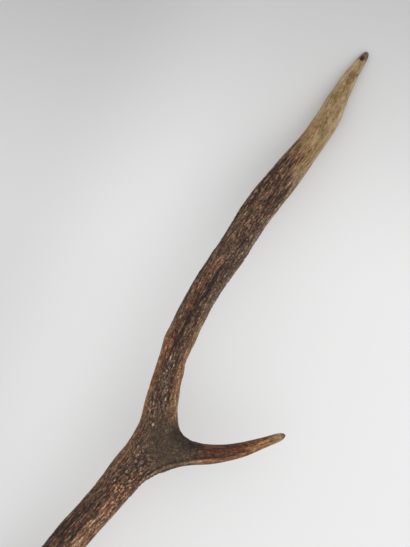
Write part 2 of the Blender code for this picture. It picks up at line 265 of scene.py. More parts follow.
class Branch:
    """A smooth line with a place every millimetre: its middle, its half-width and the ways from it."""

    def __init__(self, points, start=0.0):
        points = np.array(points, float)
        gaps = np.linalg.norm(np.diff(points[:, :3], axis=0), axis=1)
        at = np.concatenate([[0.0], np.cumsum(gaps)])
        self.steps = np.arange(0.0, at[-1], 1.0)
        raw = np.column_stack([np.interp(self.steps, at, points[:, k]) for k in range(4)])
        ahead = raw[-1] + (raw[-1] - raw[-2]) * np.arange(1, SOFTEN + 1)[:, None]
        behind = raw[0] - (raw[1] - raw[0]) * np.arange(SOFTEN, 0, -1)[:, None]
        window = np.hanning(2 * SOFTEN + 3)[1:-1]
        window /= window.sum()
        padded = np.vstack([behind, raw, ahead])
        smooth = np.column_stack([np.convolve(padded[:, k], window, "valid") for k in range(4)])
        self.middle, self.half_width = smooth[:, :3], np.maximum(smooth[:, 3], 2.0)
        ways = np.gradient(self.middle, axis=0)
        self.ways = ways / np.linalg.norm(ways, axis=1)[:, None]
        self.start = start

    def follow(self, spots):
        """For each spot: how far along, how far to the side and up, and how many half-widths away."""
        nearest = np.concatenate([self.nearest(part) for part in np.array_split(spots, 40)])
        past = np.einsum("ij,ij->i", spots - self.middle[nearest], self.ways[nearest])
        along = np.clip(nearest + past, 0, len(self.steps) - 1)
        at = np.arange(len(self.steps))
        middle = np.column_stack([np.interp(along, at, self.middle[:, k]) for k in range(3)])
        way = np.column_stack([np.interp(along, at, self.ways[:, k]) for k in range(3)])
        out = spots - middle
        out -= way * np.einsum("ij,ij->i", out, way)[:, None]
        side = np.cross(way, (0.0, 0.0, 1.0))
        side /= np.linalg.norm(side, axis=1)[:, None]
        up = np.cross(side, way)
        away = np.linalg.norm(spots - middle, axis=1) / np.interp(along, at, self.half_width)
        sideways, upwards = np.einsum("ij,ij->i", out, side), np.einsum("ij,ij->i", out, up)
        return np.column_stack([sideways, nearest + past + self.start, upwards]), away

    def nearest(self, part):
        """The step of the line that is nearest to each spot."""
        reach = (part**2).sum(axis=1)[:, None] - 2 * part @ self.middle.T + (self.middle**2).sum(axis=1)
        return reach.argmin(axis=1)


beam = Branch(BEAM_MIDDLE)
TRAY_START = beam.follow(np.array([TRAY_MIDDLE[0][:3]]))[0][0, 1]
BROW_START = beam.follow(np.array([BROW_MIDDLE[0][:3]]))[0][0, 1]
tray, brow = Branch(TRAY_MIDDLE, TRAY_START), Branch(BROW_MIDDLE, BROW_START)
print("beam %d mm long, tines from %d and %d mm" % (len(beam.steps), TRAY_START, BROW_START))

# %% Follow the grain over the skin
TAKES_OVER = (-0.25, 0.55)  # how much nearer a tine's middle is than the beam's, in half-widths


def fade(value, start, end):
    """0 at the start, 1 at the end, with a smooth way between."""
    t = np.clip((value - start) / (end - start), 0.0, 1.0)
    return t * t * (3 - 2 * t)


def band(value, start, end, soft):
    """1 between the start and the end, 0 outside, with soft borders."""
    return fade(value, start - soft, start + soft) * (1 - fade(value, end - soft, end + soft))


def mixed(first, second, share):
    """The first rows turned into the second ones by a share for each row."""
    share = share[:, None]
    return first * (1 - share) + second * share


beam_flow, beam_away = beam.follow(spots)
tray_flow, tray_away = tray.follow(spots)
brow_flow, brow_away = brow.follow(spots)
on_tray = fade(beam_away - tray_away, *TAKES_OVER)
on_brow = fade(beam_away - brow_away, *TAKES_OVER)
on_tine = np.maximum(on_tray, on_brow)
on_beam = 1 - on_tine
grain = mixed(mixed(beam_flow, tray_flow, on_tray), brow_flow, on_brow)
around = grain[:, [0, 2]] / np.maximum(np.linalg.norm(grain[:, [0, 2]], axis=1), 1e-6)[:, None]
side, up = around.T
beam_along = beam_flow[:, 1]
tray_along, brow_along = tray_flow[:, 1] - TRAY_START, brow_flow[:, 1] - BROW_START
TRAY_LENGTH, BROW_LENGTH = len(tray.steps), len(brow.steps)
print("share of corners on the tines: %.2f" % (on_tine > 0.5).mean())

# %% [markdown]
# ## Where each finish lies
#
# Before carving, the antler is divided into zones, as a painter would mask it: rough bark on the beam, a
# smooth web at the fork, smoother tines, and points polished by wear. A smooth ridge runs up each side of the
# stem above the fork. The borders wander, since nothing on a grown thing ends on a straight line.

# %% Random waves
SEED_STEP = 17.3  # how far apart in the noise two seeds are
NOISE_REACH = 1.6  # plain noise seldom passes 0.6, and this brings it to about 1


def waves(size, seed):
    """Random values from about -1 to 1 over the skin, in waves of this size in mm along the grain's axes."""
    scaled = grain / np.array(size, float) + seed * SEED_STEP
    return np.array([noise.noise(spot) for spot in scaled.tolist()]) * NOISE_REACH


wander, shiver = waves((14, 40, 14), 1), waves((5, 14, 5), 8)
across = side + 0.12 * wander + 0.10 * shiver  # -1 at the left edge of the picture, 1 at the right
beyond = beam_along + 20 * side + 9 * wander + 6 * shiver  # for borders that slant over the beam
print("waves wander %.2f and shiver %.2f" % (wander.std(), shiver.std()))

# %% Masks of the zones
# Where a finish begins and where it is full, in mm along its branch
POLISH, TRAY_POLISH = (588, 672), (116, 138)
BROW_POLISH = (0.66 * BROW_LENGTH, 0.9 * BROW_LENGTH)
TRAY_SMOOTH, BROW_SMOOTH = (40, 60), (40, 80)
CORONET_END = (20, 30)
# Start, end and softness of the ridges beside the stem
STEM_RIGHT, STEM_LEFT = (345, 452, 12), (292, 428, 16)
FORK = np.array([-19.0, -50.0])  # the middle of the web, x and y in mm
WEB_TURN, WEB_SIZE = np.array([[0.9, 0.42], [-0.42, 0.9]]), (29, 20)

tip_polish = on_beam * fade(beyond, *POLISH)
tray_polish = on_tray * fade(tray_along + 4 * wander + 3 * shiver + 6 * side, *TRAY_POLISH)
brow_polish = on_brow * fade(brow_along + 10 * wander + 5 * shiver, *BROW_POLISH)
polished = np.maximum.reduce([tip_polish, tray_polish, brow_polish])
from_fork = np.hypot(*((spots[:, :2] - FORK) @ WEB_TURN / WEB_SIZE).T)
web = 1 - fade(from_fork + 0.22 * wander + 0.22 * shiver, 0.45, 1.4)
tray_smooth = on_tray * fade(tray_along + 5 * wander + 4 * shiver, *TRAY_SMOOTH)
brow_smooth = on_brow * fade(brow_along + 8 * wander + 4 * shiver, *BROW_SMOOTH)
tine_smooth = np.maximum(tray_smooth, brow_smooth)
bark = (1 - polished) * (1 - web) * (1 - tine_smooth)
coronet = on_beam * (1 - fade(beam_along + 3 * wander, *CORONET_END))
stem_right, stem_left = band(beam_along, *STEM_RIGHT), band(beam_along, *STEM_LEFT)
ridge_right = fade(across, 0.46, 0.66) * stem_right * on_beam
ridge_left = fade(-across, 0.58, 0.78) * stem_left * on_beam
ridges = np.maximum(ridge_left, ridge_right)
zones = {"polished": polished, "web": web, "tines": tine_smooth, "bark": bark, "ridges": ridges}
print("shares of the skin:", {name: round(float(zone.mean()), 2) for name, zone in zones.items()})

# %% [markdown]
# ## Carving the relief
#
# The furrows are places where a stretched noise crosses zero, which gives long thin lines that meander,
# split and end as the real ones do. The pearls are cells, each rounded off towards its border. Both are
# made along the grain, and each corner then moves in or out by the sum. What stands out on this very antler
# is listed one by one: one winding groove, the largest pearls, and the swellings of the outline.

# %% Furrows and pearls
KNOB_SEED_STEP = 7.7


def furrows(size, width, seed):
    """1 in the bottom of a furrow and 0 between furrows. A wider line is a larger share of a wave."""
    return 1 - fade(np.abs(waves(size, seed)), 0.0, width)


def knobs(size, seed, where):
    """Rounded knobs of this size in mm, 1 on top and 0 in the crevices, and for each a chance from 0 to 1."""
    heights, chances = np.zeros(corners), np.zeros(corners)
    chosen = np.flatnonzero(where)
    scaled = grain[chosen] / np.array(size, float) + seed * KNOB_SEED_STEP
    cells = [noise.voronoi(spot) for spot in scaled.tolist()]
    reach = np.array([near[:2] for near, _ in cells])
    heights[chosen] = fade(reach[:, 1] - reach[:, 0], 0.0, 0.45) * (1 - 0.5 * fade(reach[:, 0], 0.1, 0.7))
    chances[chosen] = [abs(noise.cell(middles[0])) for _, middles in cells]
    return heights, chances


long_furrows = furrows((3.4, 46, 3.4), 0.26, 2)
short_furrows = furrows((2.1, 14, 2.1), 0.24, 3)
thin_lines = furrows((1.9, 36, 1.9), 0.34, 4)
below_fork = band(beam_along + 10 * wander, 255, 318, 20) * fade(across, -0.75, 0.05)
up_stem = band(beam_along, 335, 420, 15) * band(across, -0.55, 0.6, 0.15)
beside_groove = band(beam_along, 400, 500, 20) * fade(across, -0.2, 0.3)
above_coronet = 1 - fade(beam_along, 90, 240)
pearl_band = np.maximum.reduce([below_fork, 0.75 * up_stem, 0.6 * beside_groove, 0.55 * above_coronet])
pearl_band *= bark * (1 - ridges)
pebble_band = bark * (0.4 + 0.6 * band(beam_along + 12 * wander, 335, 610, 25)) * (1 - 0.8 * ridges)
pearls, pearl_chance = knobs((2.7, 3.4, 2.7), 1, pearl_band > 0.02)
pebbles, pebble_chance = knobs((1.8, 2.9, 1.8), 3, pebble_band > 0.02)
burr = knobs((4.6, 5.2, 4.6), 2, coronet > 0.02)[0]
print("pearls on %.2f of the skin, pebbles on %.2f" % ((pearl_band > 0.2).mean(), (pebble_band > 0.2).mean()))

# %% The groove and single pearls
# The groove winds from the left to the right of the beam's top: distance in mm and angle round the beam
GROOVE = np.array([(385, 2.05), (410, 1.86), (440, 1.68), (470, 1.50), (505, 1.44), (545, 1.52)])
GROOVE_RADIUS, PEARL_RADIUS = 14, 15  # of the beam there, in mm, to turn angles into distances
# Pearls: distance in mm, place across from -1 to 1, radius in mm. The last one is pale
PEARLS = [
    (268, 0.17, 1.8), (275, 0.34, 2.0), (283, 0.50, 2.2), (286, 0.76, 1.7), (301, 0.08, 2.0),
    (303, 0.44, 2.2), (309, 0.66, 1.8), (294, 0.72, 1.9), (294, 0.30, 2.1), (276, -0.30, 1.6),
    (289, -0.02, 1.9), (394, -0.14, 1.5), (466, 0.19, 1.3), (477, 0.13, 1.2), (484, 0.30, 1.2),
    (536, 0.47, 1.3), (262, 0.58, 1.8), (313, 0.22, 1.7), (285, 0.18, 1.7), (339, -0.05, 1.7),
]


def line(distance, width):
    """1 on a line and ever less beside it."""
    return np.exp(-((distance / width) ** 2))


angle = np.arctan2(up, side)
off_groove = (angle - np.interp(beam_along, *GROOVE.T) + 0.10 * shiver) * GROOVE_RADIUS
in_groove = line(off_groove, 1.7) * band(beam_along, 412, 500, 14) * on_beam
domes, moats = np.zeros(corners), np.zeros(corners)
for place, offset, radius in PEARLS:
    gap = np.hypot(beam_along - place, (angle - math.acos(offset)) * PEARL_RADIUS) / radius
    domes = np.maximum(domes, np.sqrt(np.clip(1 - gap**2, 0, 1)))
    moats = np.maximum(moats, band(gap, 1.05, 1.5, 0.2))
domes, moats = domes * on_beam, moats * on_beam
pale_pearl = (1 - fade(gap, 0.5, 1.1)) * (up > 0) * on_beam  # the gap to the last pearl of the list
print("single pearls:", len(PEARLS))

# %% Sum of the relief, in mm
transition = band(beyond, 583, 668, 16) * on_beam
detail = (
    -0.55 * long_furrows * bark * (1 - 0.5 * pearl_band)
    - 0.28 * short_furrows * bark
    - 0.22 * thin_lines * (transition + 0.4 * tine_smooth * (1 - polished))
    + 0.65 * (pearls - 0.4) * pearl_band
    + 0.26 * (pebbles - 0.4) * pebble_band
    + 1.3 * (burr - 0.4) * coronet
    - 0.5 * in_groove
    + 0.6 * domes
    - 0.35 * moats
)
crest = fade(detail, -0.42, 0.32)
grit = 0.12 * waves((1.5, 2.2, 1.5), 5) * (web + 0.5 * bark)
unevenness = 0.25 * waves((7, 18, 7), 6) * (1 - 0.6 * polished)
relief = detail + grit + unevenness
print("relief from %.2f to %.2f mm" % (relief.min(), relief.max()))

# %% Swellings and hollows of the outline
# Along the beam: distance, side of the beam, length and height in mm
SWELLINGS = [
    (372, -1, 40, 1.5), (402, 1, 14, -0.9), (395, 1, 16, 0.7), (424, 1, 12, 0.6), (690, 1, 44, 1.3),
    (730, 1, 14, 0.4), (120, 1, 40, 0.5), (420, -1, 24, 0.9), (292, -1, 20, 0.9), (205, -1, 24, 0.8),
    (292, 1, 30, -1.4), (718, -1, 30, -0.9), (522, 1, 18, 0.9),
]
# Between the stem and the tray tine the wall bends in an arc, with a kink to hollow and a flat to fill
BEND = np.array([1.3, -3.7])  # the middle of that arc, x and y in mm
WALL_SPOTS = [(-7.2, -34.8, 8, -1.3), (-23.5, -24.8, 9, 1.7)]  # x, y, reach and height in mm


def seen_from_above(place, stretch=(1.0, 1.0)):
    """How far each corner is from a place in x and y, in mm."""
    return np.hypot(*((spots[:, :2] - place) / stretch).T)


for place, which, length, height in SWELLINGS:
    relief += height * line(beam_along - place, 0.5 * length) * fade(which * side, 0.1, 0.9) * on_beam
towards_bend = (BEND - spots[:, :2]) / seen_from_above(BEND)[:, None]
facing_bend = np.clip(np.einsum("ij,ij->i", outwards[:, :2], towards_bend), 0, 1)
for x, y, reach, height in WALL_SPOTS:
    relief += height * line(seen_from_above((x, y)), reach) * facing_bend
print("with the swellings from %.2f to %.2f mm" % (relief.min(), relief.max()))

# %% Wear at the points
TIP_HOLE, NICK = np.array([-54.9, 367.0]), np.array([-49.6, 349.5])  # x and y in mm
HOLE_DEPTH, NICK_DEPTH = 1.2, 0.7
# The hole and the nick are dented only a little; the near-black colour the material gives them is partly
# painted shade of their insides.
hole = (1 - fade(seen_from_above(TIP_HOLE, (1.0, 1.15)), 1.6, 3.3)) * (up > 0)
nick = (1 - fade(seen_from_above(NICK), 0.6, 2.6)) * (side > 0.3)
relief -= HOLE_DEPTH * hole + NICK_DEPTH * nick
tip_end = on_beam * fade(beam_along + 2.0 * wander + 1.5 * shiver, 753, 761)
tray_end = on_tray * fade(tray_along + 1.0 * wander, TRAY_LENGTH - 5.5, TRAY_LENGTH - 3)
brow_end = on_brow * fade(brow_along + 2.0 * wander, BROW_LENGTH - 8, BROW_LENGTH - 4)
worn_end = np.maximum.reduce([tip_end, tray_end, brow_end])
print("worn ends: %d corners" % (worn_end > 0.5).sum())

# %% Move the corners
behind_cut = (np.array(sawn_middle) / MM - spots) @ np.array(sawn_out)
relief *= fade(behind_cut, 0.2, 2.5)  # the rim of the sawn face stays where it is
low, high = (np.array(corner) / MM for corner in cad_box)
spots = np.clip(spots + outwards * relief[:, None], low, high)
skin.data.vertices.foreach_set("co", (spots * MM).ravel())
skin.data.update()
print("carved; box", np.round(spots.min(axis=0), 1), np.round(spots.max(axis=0), 1))

# %% [markdown]
# ## Tone along the grain
#
# Each zone has a tone from 0, black, to 1, bleached: crests are pale and crevices dark, as on the real bone,
# where dirt stays in the furrows. The right half of the lower beam is paler, partly bleached and partly
# painted light, and its left end is darker, partly stains and partly painted shade. Ridges run up the stem
# on both sides of a dark band, thin dark lines end where the polish begins, and the upper beam gets painted
# shade on its left edge and painted light on its right.

# %% Places on the beam
low_beam = 1 - fade(beam_along, 268, 298)
lowest_beam = 1 - fade(beam_along, 200, 262)
streaks_wide = waves((1.6, 15, 1.6), 12)
# Partly bleached bone and partly painted light: the right half of the lower beam is made paler. Partly stains
# and partly painted shade: the left of its lowest part is made darker.
bleached_and_painted_light_right = fade(across + 0.25 * streaks_wide, -0.15, 0.45) * low_beam
stained_and_painted_shade_left = (1 - fade(across, -0.05, 0.25)) * (1 - fade(beam_along, 215, 262))
stem_middle = band(across, -0.45, 0.40, 0.15) * band(beam_along, 335, 412, 14)
beside_ridge = band(across, 0.30, 0.48, 0.06) * stem_right
left_of_groove = band(across, -0.7, 0.1, 0.1) * band(beam_along, 400, 500, 20)
left_half = band(across, -0.95, -0.3, 0.1) * band(beam_along, 430, 600, 20)
# Painted shade on the left edge of the upper beam, and painted light on its right edge and its upper right
# side.
painted_shade_left_edge = fade(-side, 0.80, 0.95) * band(beam_along, 470, 570, 20)
painted_light_right_edge = fade(across, 0.6, 0.95) * band(beam_along, 440, 600, 20)
painted_light_upper_right = fade(across, 0.5, 0.9) * band(beam_along, 560, 650, 25)
upper_left = band(-side, 0.66, 0.90, 0.07) * band(beam_along + 10 * shiver, 565, 672, 14)
left_flecks = upper_left * (streaks_wide < 0.1)
print("the bleached half covers %.2f of the skin" % bleached_and_painted_light_right.mean())

# %% Tone of the bark
flecks, mottle, patches = waves((1.5, 3.8, 1.5), 11), waves((1.8, 2.2, 1.8), 13), waves((5, 12, 5), 14)
dark_streaks, tan_streaks = furrows((2.6, 34, 2.6), 0.55, 20), furrows((2.3, 24, 2.3), 0.50, 21)
streaky = np.maximum.reduce([0.85 * low_beam, left_of_groove, transition])
fine = (0.32 * (crest - 0.6) + 0.11 * flecks + 0.10 * mottle) * (1 - 0.5 * ridges) * (1 - 0.25 * transition)
pearl_light = pearls * pearl_band * (1.1 * pearl_chance - 0.25)
pebble_light = pebbles * pebble_band * (pebble_chance - 0.35)
bark_tone = (
    0.49
    + fine
    + (0.05 + 0.12 * streaky) * streaks_wide
    + 0.05 * patches
    # partly painted light on the right half of the lower beam, partly painted shade on its left end
    + (0.09 + 0.08 * lowest_beam) * bleached_and_painted_light_right
    + 0.14 * (tan_streaks - 0.2) * bleached_and_painted_light_right
    - (0.07 + 0.20 * dark_streaks) * stained_and_painted_shade_left
    + 0.15 * ridge_right
    + 0.09 * ridge_left
    + 0.03 * stem_middle
    - 0.12 * beside_ridge
    + 0.05 * left_half
    # painted shade on the left edge, painted light on the right edge and the upper right
    - 0.10 * painted_shade_left_edge
    + 0.12 * painted_light_right_edge
    + 0.14 * painted_light_upper_right
    - 0.24 * left_flecks
    + 0.08 * transition * fade(across, 0.1, 0.8)
    - 0.27 * transition * thin_lines
    - 0.24 * in_groove
    + 0.22 * pearl_light
    + 0.12 * pebble_light
    + 0.03 * domes
    - 0.17 * moats
    + 0.05 * coronet
)
print("tone of the bark: %.2f, spread %.2f" % (bark_tone[bark > 0.5].mean(), bark_tone[bark > 0.5].std()))

# %% Tone of the web and the tines
web_tone = 0.42 + 0.13 * mottle + 0.10 * flecks + 0.06 * waves((1.3, 1.6, 1.3), 15)
tray_ridge = on_tray * band(across, 0.54, 0.92, 0.10) * (1 - fade(tray_along, 92, 112))
tray_line = on_tray * line(across - 0.42, 0.10) * band(tray_along, 46, 95, 7)
tine_tone = (
    0.57
    + 0.08 * (streaks_wide + flecks + mottle + patches)
    + 0.15 * (crest - 0.6)
    - 0.26 * tray_line
    + 0.09 * tray_ridge
    - 0.06 * on_tray * band(tray_along, 78, 102, 8)
    + 0.21 * on_tray * fade(tray_along, 92, 120)
    + 0.15 * on_brow * fade(brow_along, 0.4 * BROW_LENGTH, 0.75 * BROW_LENGTH)
)
print("tones: web %.2f, tines %.2f" % (web_tone.mean(), tine_tone.mean()))

# %% Tone of the polished points
edge_of_tip = fade(np.abs(side + 0.1 * wander), 0.45, 0.9)
smudge = waves((4.0, 16, 4.0), 16) + 0.5 * waves((2.0, 7, 2.0), 17)
down_middle = band(across, -0.35, 0.45, 0.25) * band(beam_along, 668, 748, 14)
below_hole = band(across, -0.1, 0.5, 0.15) * band(beam_along, 736, 752, 5)
polish_tone = (
    0.45
    + 0.15 * edge_of_tip
    - 0.16 * smudge
    + 0.08 * flecks
    - 0.12 * down_middle
    - 0.14 * below_hole
    - 0.26 * thin_lines * transition
    - 0.10 * on_tray
)
rough_tines = tine_smooth * (1 - polished)
parts = [(bark_tone, bark), (web_tone, web), (tine_tone, rough_tines), (polish_tone, polished)]
tone = sum(value * share for value, share in parts) / sum(share for _, share in parts)
print("tone of the polish: %.2f" % polish_tone.mean())

# %% Dark and pale edges
TURN = math.radians(32)  # how far the picture is turned about the vertical
RIGHT, UPWARDS = np.array([math.cos(TURN), math.sin(TURN)]), np.array([-math.sin(TURN), math.cos(TURN)])
# The fork's lower edge, in mm to the right and upwards in the picture
FORK_EDGE = np.array([
    (-74.0, -74.6), (-68.3, -69.8), (-60.7, -64.1), (-51.2, -58.0), (-39.8, -53.2),
    (-26.5, -51.1), (-11.3, -48.7), (3.9, -47.3), (22.9, -45.1),
])
EDGE_LINE, DARK_LINE_OFF = 1.2, 2.8  # half-width of the pale and the dark line, and how far apart they are

top_edge = on_tray * fade(-side, 0.28, 0.70) * fade(tray_along, 30, 50)
top_edge *= 1 - fade(tray_along + 8 * side, 112, 132)
in_crotch = (1 - fade(seen_from_above(BEND), 34, 47)) * fade((BEND - spots[:, :2]) @ UPWARDS, 8, 20)
tone -= 0.27 * np.maximum(0.9 * top_edge, in_crotch) * (1 - 0.4 * polished)
tone -= 0.12 * on_tray * fade(side, 0.80, 0.97) * band(tray_along, 50, 96, 10)
tone += 0.75 * pale_pearl
to_right = spots[:, :2] @ RIGHT
off_edge = spots[:, :2] @ UPWARDS - np.interp(to_right, *FORK_EDGE.T)
beside_edge = fade(to_right, FORK_EDGE[0, 0], FORK_EDGE[2, 0]) * (up > 0)
beside_edge *= 1 - fade(to_right, FORK_EDGE[-2, 0], FORK_EDGE[-1, 0])
tone += 0.24 * (line(off_edge, EDGE_LINE) - line(off_edge - DARK_LINE_OFF, EDGE_LINE)) * beside_edge
print("tone over all: %.2f" % tone.mean())

# %% [markdown]
# ## Hue
#
# Bark is red-brown where it is thin, greyer on pearls and in the dark band up the stem, and orange-tan on
# rubbed ridges. Each of these three becomes a mask of its own, for the material to shift the colour by.

# %% Rust, orange and grey
reddish = waves((2.2, 18, 2.2), 18)
tine_body = on_tray * band(tray_along, 44, 92, 14)
red_line = line(off_groove - 5.5, 1.4) * band(beam_along, 412, 505, 14) * on_beam
rust_zone = (
    0.15
    + 0.3 * low_beam
    + 0.40 * band(across, -0.85, -0.05, 0.12) * band(beam_along, 400, 500, 15)
    + 0.30 * band(beyond, 560, 668, 20) * on_beam * (1 - fade(across, 0.3, 0.7))
    + 0.25 * fade(-across, 0.30, 0.60) * stem_left
    + 0.45 * band(across, 0.28, 0.50, 0.08) * stem_right
    + 0.40 * tine_body * (1 - tray_ridge)
    + 0.7 * red_line
)
rust = np.clip(rust_zone + 0.5 * reddish * (0.4 + rust_zone), 0, 1) * (1 - 0.8 * web) * (1 - 0.6 * polished)
orange = np.clip(0.75 * ridge_right + 0.65 * ridge_left + 0.25 * bleached_and_painted_light_right, 0, 1)
orange = np.maximum(orange, 0.3 * on_tray * band(tray_along, 84, 132, 12) * (1 - top_edge))
grey_upper = band(beam_along, 430, 560, 20) * fade(across, -0.2, 0.3)
grey = np.clip(0.7 * stem_middle + 0.6 * pearl_light + 0.5 * grey_upper, 0, 1) * bark
print("rust %.2f, orange %.2f, grey %.2f" % (rust.mean(), orange.mean(), grey.mean()))

# %% Keep the masks on the corners
masks = {
    "tone": tone, "rust": rust, "orange": orange, "grey": grey, "web": web, "tine_smooth": tine_smooth,
    "polished": polished, "worn_end": worn_end, "hole": np.maximum(hole, 0.7 * nick),
}


def keep_on_corners(piece, name, kind, values):
    attribute = piece.data.attributes.new(name, kind, "POINT")
    attribute.data.foreach_set("value" if kind == "FLOAT" else "vector", np.ravel(values).astype(np.float32))


for name, values in masks.items():
    keep_on_corners(skin, name, "FLOAT", values)
keep_on_corners(skin, "grain", "FLOAT_VECTOR", grain * MM)
print("masks:", ", ".join(masks))

# %% [markdown]
# ## Five pieces
#
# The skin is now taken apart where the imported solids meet, so that each piece stands for its solid. Its
# shading has to run on across the seams, so the normals of the whole skin are kept first, and each piece
# gets them back as custom normals.

# %% Take the skin apart
BASE = "coronet"
whole_normals = np.empty(corners * 3)
skin.data.vertex_normals.foreach_get("vector", whole_normals)
keep_on_corners(skin, "whole_normal", "FLOAT_VECTOR", whole_normals)
carved = skin.data.attributes.new("carved", "BOOLEAN", "FACE")
carved.data.foreach_set("value", np.ones(len(skin.data.polygons), bool))

only(skin)
bpy.ops.object.mode_set(mode="EDIT")
bpy.ops.mesh.select_all(action="SELECT")
bpy.ops.mesh.separate(type="MATERIAL")
bpy.ops.object.mode_set(mode="OBJECT")
pieces = {piece.data.materials[0].name.removeprefix("from_"): piece for piece in bpy.context.selected_objects}
for name, piece in pieces.items():
    piece.name = piece.data.name = name if name == BASE else name + "_bone"
print("pieces:", {name: len(piece.data.polygons) for name, piece in pieces.items()})

# %% [markdown]
# ## The sawn base
#
# The photograph cuts the antler off above its base. There a trophy antler is sawn from the skull just below
# the coronet. The saw leaves a flat face: a dense ivory wall round a brown, spongy core. A grid of quads
# closes the open rim, so that the core's pores can be pressed into it.

# %% Close the base
RIM_DEPTH = 1.0 * MM
base = pieces[BASE]
only(base)
bpy.ops.object.mode_set(mode="EDIT")
bpy.ops.mesh.select_mode(type="EDGE")
bpy.ops.mesh.select_all(action="DESELECT")
rim_length = 0
for edge in bmesh.from_edit_mesh(base.data).edges:
    if edge.is_boundary and all(abs(depth_behind_cut(corner.co)) < RIM_DEPTH for corner in edge.verts):
        edge.select_set(True)
        rim_length += 1
bmesh.update_edit_mesh(base.data)
bpy.ops.mesh.fill_grid(span=rim_length // 4)
bpy.ops.object.mode_set(mode="OBJECT")
print("sawn face: rim of", rim_length, "edges")

# %% Close the seams


def carved_faces(piece):
    marks = np.empty(len(piece.data.polygons), bool)
    piece.data.attributes["carved"].data.foreach_get("value", marks)
    return marks


sawn_faces = set(np.flatnonzero(~carved_faces(base)).tolist())
for name, piece in pieces.items():
    only(piece)
    bpy.ops.object.mode_set(mode="EDIT")
    bpy.ops.mesh.select_all(action="SELECT")
    bpy.ops.mesh.fill_holes(sides=0)
    still_open = count_open_edges(piece)
    bpy.ops.object.mode_set(mode="OBJECT")
    print(name, "closed" if still_open == 0 else "open edges: %d" % still_open)

# %% Pores of the spongy core
WALL = 4.5  # mm of dense bone round the core
inside, outside = set(), set()
for face in base.data.polygons:
    (inside if face.index in sawn_faces else outside).update(face.vertices)
rim = kdtree.KDTree(len(inside & outside))
for corner in inside & outside:
    rim.insert(base.data.vertices[corner].co, corner)
rim.balance()
inner = sorted(inside - outside)
core = np.zeros(len(base.data.vertices))
for corner in inner:
    core[corner] = fade(rim.find(base.data.vertices[corner].co)[2] / MM, WALL - 1.2, WALL + 1.2)
    spot = base.data.vertices[corner].co / MM
    pore = abs(noise.noise(spot * 0.55)) + 0.6 * abs(noise.noise(spot * 1.1))
    base.data.vertices[corner].co -= sawn_out * MM * core[corner] * (0.35 + 0.9 * pore)
keep_on_corners(base, "core", "FLOAT", core)
print("spongy core:", int((core > 0.5).sum()), "of", len(inner), "corners")

# %% Give the normals back


def give_back_normals(piece):
    """The skin's faces get the whole skin's normals. The faces that close the piece keep their own."""
    mesh = piece.data
    kept = np.empty(len(mesh.vertices) * 3)
    corner_of = np.empty(len(mesh.loops), int)
    sizes = np.empty(len(mesh.polygons), int)
    mesh.attributes["whole_normal"].data.foreach_get("vector", kept)
    mesh.loops.foreach_get("vertex_index", corner_of)
    mesh.polygons.foreach_get("loop_total", sizes)
    normals = kept.reshape(-1, 3)[corner_of]
    normals[~np.repeat(carved_faces(piece), sizes)] = 0.0
    mesh.shade_smooth()
    mesh.normals_split_custom_set(normals.tolist())
    mesh.attributes.remove(mesh.attributes["whole_normal"])


for piece in pieces.values():
    only(piece)
    marks = carved_faces(piece)
    bpy.ops.object.mode_set(mode="EDIT")
    pick_faces(piece, lambda face: not marks[face.index])
    bpy.ops.mesh.region_to_loop()
    bpy.ops.mesh.mark_sharp()
    bpy.ops.object.mode_set(mode="OBJECT")
    give_back_normals(piece)
    piece.data.calc_loop_triangles()
    print(piece.name, len(piece.data.loop_triangles), "triangles")

# %% [markdown]
# ## The bone material
#
# The tone is read off a colour ramp, a different one for the bark, the web, the tines and the polish, because
# the same tone is brown on one and tan on another. Streaks and dust finer than the mesh come from a node
# group, which the sawn face uses as well; a second group makes the pores of its core. A patchy tint turns
# the unpolished bone warmer or cooler, and the rust, orange and grey masks are multiplied in.

# %% Helpers for nodes


def add(tree, kind, inputs=None, **settings):
    """Adds a node. An input that is another node's output is linked, and any other is set."""
    made = tree.nodes.new(kind)
    for name, value in settings.items():
        setattr(made, name, value)
    for name, value in (inputs or {}).items():
        if isinstance(value, bpy.types.NodeSocket):
            tree.links.new(value, made.inputs[name])
        else:
            made.inputs[name].default_value = value
    return made


def sum_of(tree, *parts):
    """Adds up pairs of an output and a number, each output times its number."""
    total = 0.0
    for part, share in parts:
        inputs = {0: part, 1: share, 2: total}
        total = add(tree, "ShaderNodeMath", inputs, operation="MULTIPLY_ADD").outputs[0]
    return total


def screen(red, green, blue):
    """A colour as a screen shows it, 0 to 255, made into the plain amounts of light a shader works with."""
    return [((level / 255 + 0.055) / 1.055) ** 2.4 for level in (red, green, blue)] + [1.0]


def mix_colours(tree, share, first, second, blend_type="MIX"):
    inputs = {0: share, 6: first, 7: second}
    return add(tree, "ShaderNodeMix", inputs, data_type="RGBA", blend_type=blend_type).outputs[2]


def smooth_range(tree, value, *numbers):
    """Turns the first two numbers smoothly into the next two, or into 0 and 1."""
    inputs = dict(enumerate((value, *numbers)))
    return add(tree, "ShaderNodeMapRange", inputs, interpolation_type="SMOOTHSTEP").outputs[0]


def ramp(tree, value, *stops):
    """A colour ramp through stops of a place and a screen colour."""
    made = add(tree, "ShaderNodeValToRGB", {0: value})
    line = made.color_ramp.elements
    while len(line) < len(stops):
        line.new(0.5)
    for element, (place, colour) in zip(line, stops):
        element.position = place
        element.color = screen(*colour)
    return made.outputs[0]


def new_group(name, inputs, outputs):
    group = bpy.data.node_groups.new(name, "ShaderNodeTree")
    for label, kind in inputs:
        group.interface.new_socket(label, in_out="INPUT", socket_type=kind)
    for label, kind in outputs:
        group.interface.new_socket(label, in_out="OUTPUT", socket_type=kind)
    return group, add(group, "NodeGroupInput").outputs, add(group, "NodeGroupOutput").inputs


def use_group(tree, group, **inputs):
    return add(tree, "ShaderNodeGroup", inputs, node_tree=group).outputs[0]


print("helpers ready")

# %% Streaks along the grain
NUMBER, WAY = "NodeSocketFloat", "NodeSocketVector"

